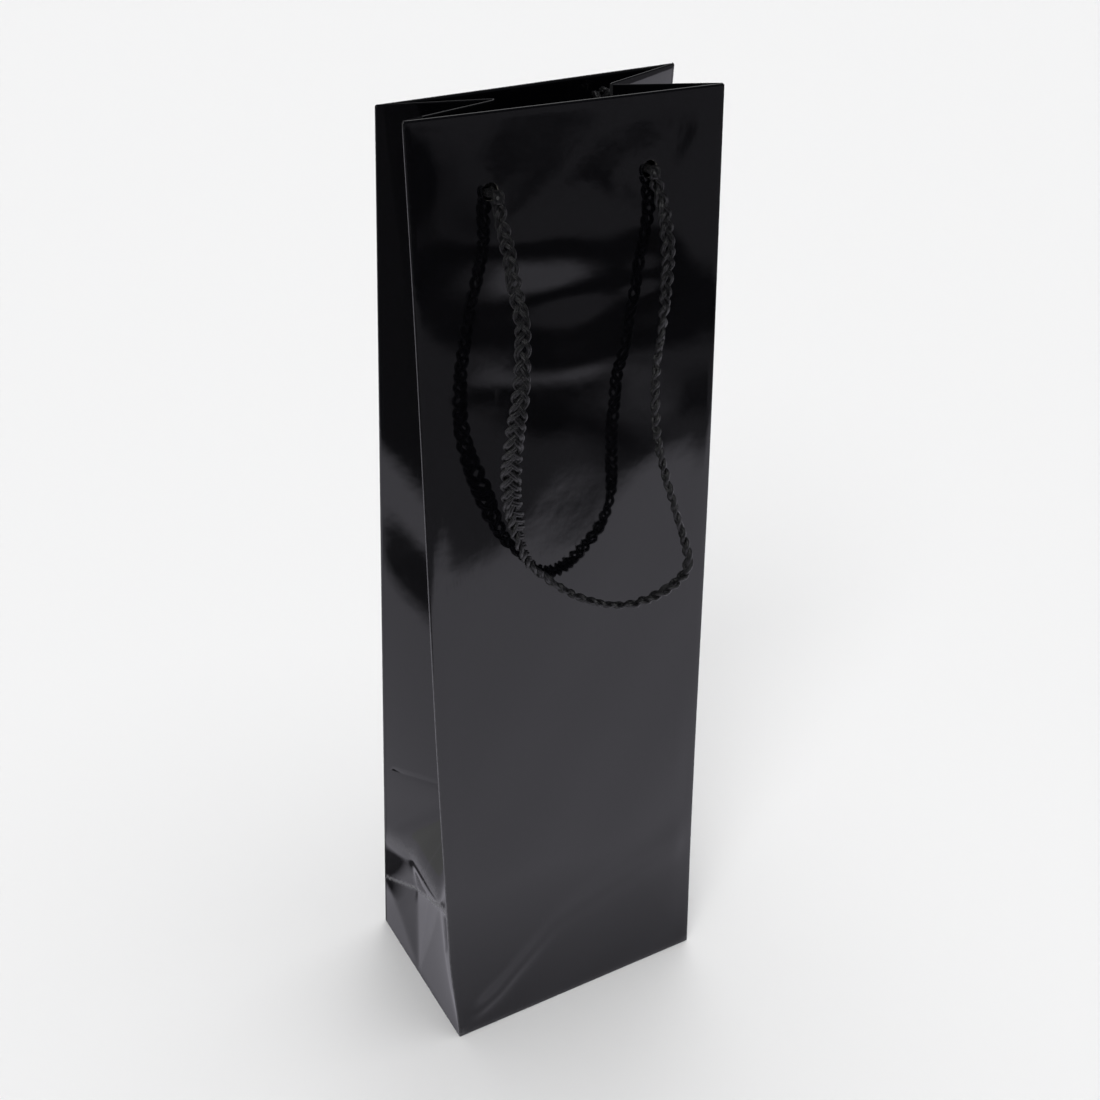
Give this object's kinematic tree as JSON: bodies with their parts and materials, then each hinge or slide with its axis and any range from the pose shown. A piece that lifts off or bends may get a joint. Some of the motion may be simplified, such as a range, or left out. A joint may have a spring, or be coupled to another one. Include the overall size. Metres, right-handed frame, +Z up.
{
  "type": "wine gift bag",
  "caption": "Tall narrow paper gift bag for a wine bottle: gloss black panels, folding side gussets, card base and flat braided rope handles knotted inside.",
  "frame": {"origin": "centre of the base, on the surface the bag stands on", "axes": "+X across the bag to the right seen from the front, -Y the front, +Z up"},
  "size_m": [0.12, 0.12, 0.3941],
  "materials": {
    "black_gloss_paper": "gloss laminated",
    "black_paper_inside": "matte",
    "grey_card": "matte",
    "black_braid": "braided, soft sheen"
  },
  "bodies": {
    "base": {"base_board": "grey_card", "front_bottom_flap": "black_gloss_paper", "back_bottom_flap": "black_gloss_paper", "left_bottom_flap": "black_gloss_paper", "right_bottom_flap": "black_gloss_paper"},
    "front_panel": {"front_panel": "black_gloss_paper", "front_turn_in": "black_gloss_paper", "front_stiffener": "grey_card", "front_left_knot": "black_braid", "front_right_knot": "black_braid"},
    "back_panel": {"back_panel": "black_gloss_paper", "back_turn_in": "black_gloss_paper", "back_stiffener": "grey_card", "glue_flap": "black_paper_inside", "back_left_knot": "black_braid", "back_right_knot": "black_braid"},
    "left_web": {"left_gusset_web": "black_gloss_paper"},
    "right_web": {"right_gusset_web": "black_gloss_paper"},
    "left_front_wing": {"left_front_gusset_wing": "black_gloss_paper", "left_front_turn_in": "black_gloss_paper"},
    "left_back_wing": {"left_back_gusset_wing": "black_gloss_paper", "left_back_turn_in": "black_gloss_paper"},
    "right_front_wing": {"right_front_gusset_wing": "black_gloss_paper", "right_front_turn_in": "black_gloss_paper"},
    "right_back_wing": {"right_back_gusset_wing": "black_gloss_paper", "right_back_turn_in": "black_gloss_paper"},
    "front_handle": {"front_handle_rope": "black_braid"},
    "back_handle": {"back_handle_rope": "black_braid"}
  },
  "joints": [
    {"name": "mouth_open", "type": "hinge", "parent": "base", "child": "front_panel", "pos_m": [0, -0.04, 0], "axis": [1, 0, 0], "range_deg": [0, 2.4]},
    {"name": "back_panel_fold", "type": "hinge", "parent": "base", "child": "back_panel", "pos_m": [0, 0.04, 0], "axis": [-1, 0, 0], "range_deg": [0, 2.4]},
    {"name": "left_web_fold", "type": "hinge", "parent": "base", "child": "left_web", "pos_m": [-0.06, 0, 0], "axis": [0, -1, 0], "range_deg": [0, 1.67]},
    {"name": "right_web_fold", "type": "hinge", "parent": "base", "child": "right_web", "pos_m": [0.06, 0, 0], "axis": [0, 1, 0], "range_deg": [0, 1.67]},
    {"name": "left_front_wing_fold", "type": "hinge", "parent": "front_panel", "child": "left_front_wing", "pos_m": [-0.06, -0.04, 0], "axis": [0, 0.0663, 0.9978], "range_deg": [0, 29.04]},
    {"name": "left_back_wing_fold", "type": "hinge", "parent": "back_panel", "child": "left_back_wing", "pos_m": [-0.06, 0.04, 0], "axis": [0, 0.0663, -0.9978], "range_deg": [0, 29.04]},
    {"name": "right_front_wing_fold", "type": "hinge", "parent": "front_panel", "child": "right_front_wing", "pos_m": [0.06, -0.04, 0], "axis": [0, -0.0663, -0.9978], "range_deg": [0, 29.04]},
    {"name": "right_back_wing_fold", "type": "hinge", "parent": "back_panel", "child": "right_back_wing", "pos_m": [0.06, 0.04, 0], "axis": [0, -0.0663, 0.9978], "range_deg": [0, 29.04]},
    {"name": "front_handle_swing", "type": "hinge", "parent": "front_panel", "child": "front_handle", "pos_m": [0, -0.02003, 0.36849], "axis": [-1, 0, 0], "range_deg": [0, 165]},
    {"name": "back_handle_swing", "type": "hinge", "parent": "back_panel", "child": "back_handle", "pos_m": [0, 0.02003, 0.36849], "axis": [1, 0, 0], "range_deg": [0, 165]}
  ],
  "couplings": [
    {"joint": "back_panel_fold", "follows": "mouth_open", "ratio": 1},
    {"joint": "left_web_fold", "follows": "mouth_open", "ratio": 0.696},
    {"joint": "right_web_fold", "follows": "mouth_open", "ratio": 0.696},
    {"joint": "left_front_wing_fold", "follows": "mouth_open", "ratio": 12.1},
    {"joint": "left_back_wing_fold", "follows": "mouth_open", "ratio": 12.1},
    {"joint": "right_front_wing_fold", "follows": "mouth_open", "ratio": 12.1},
    {"joint": "right_back_wing_fold", "follows": "mouth_open", "ratio": 12.1}
  ]
}
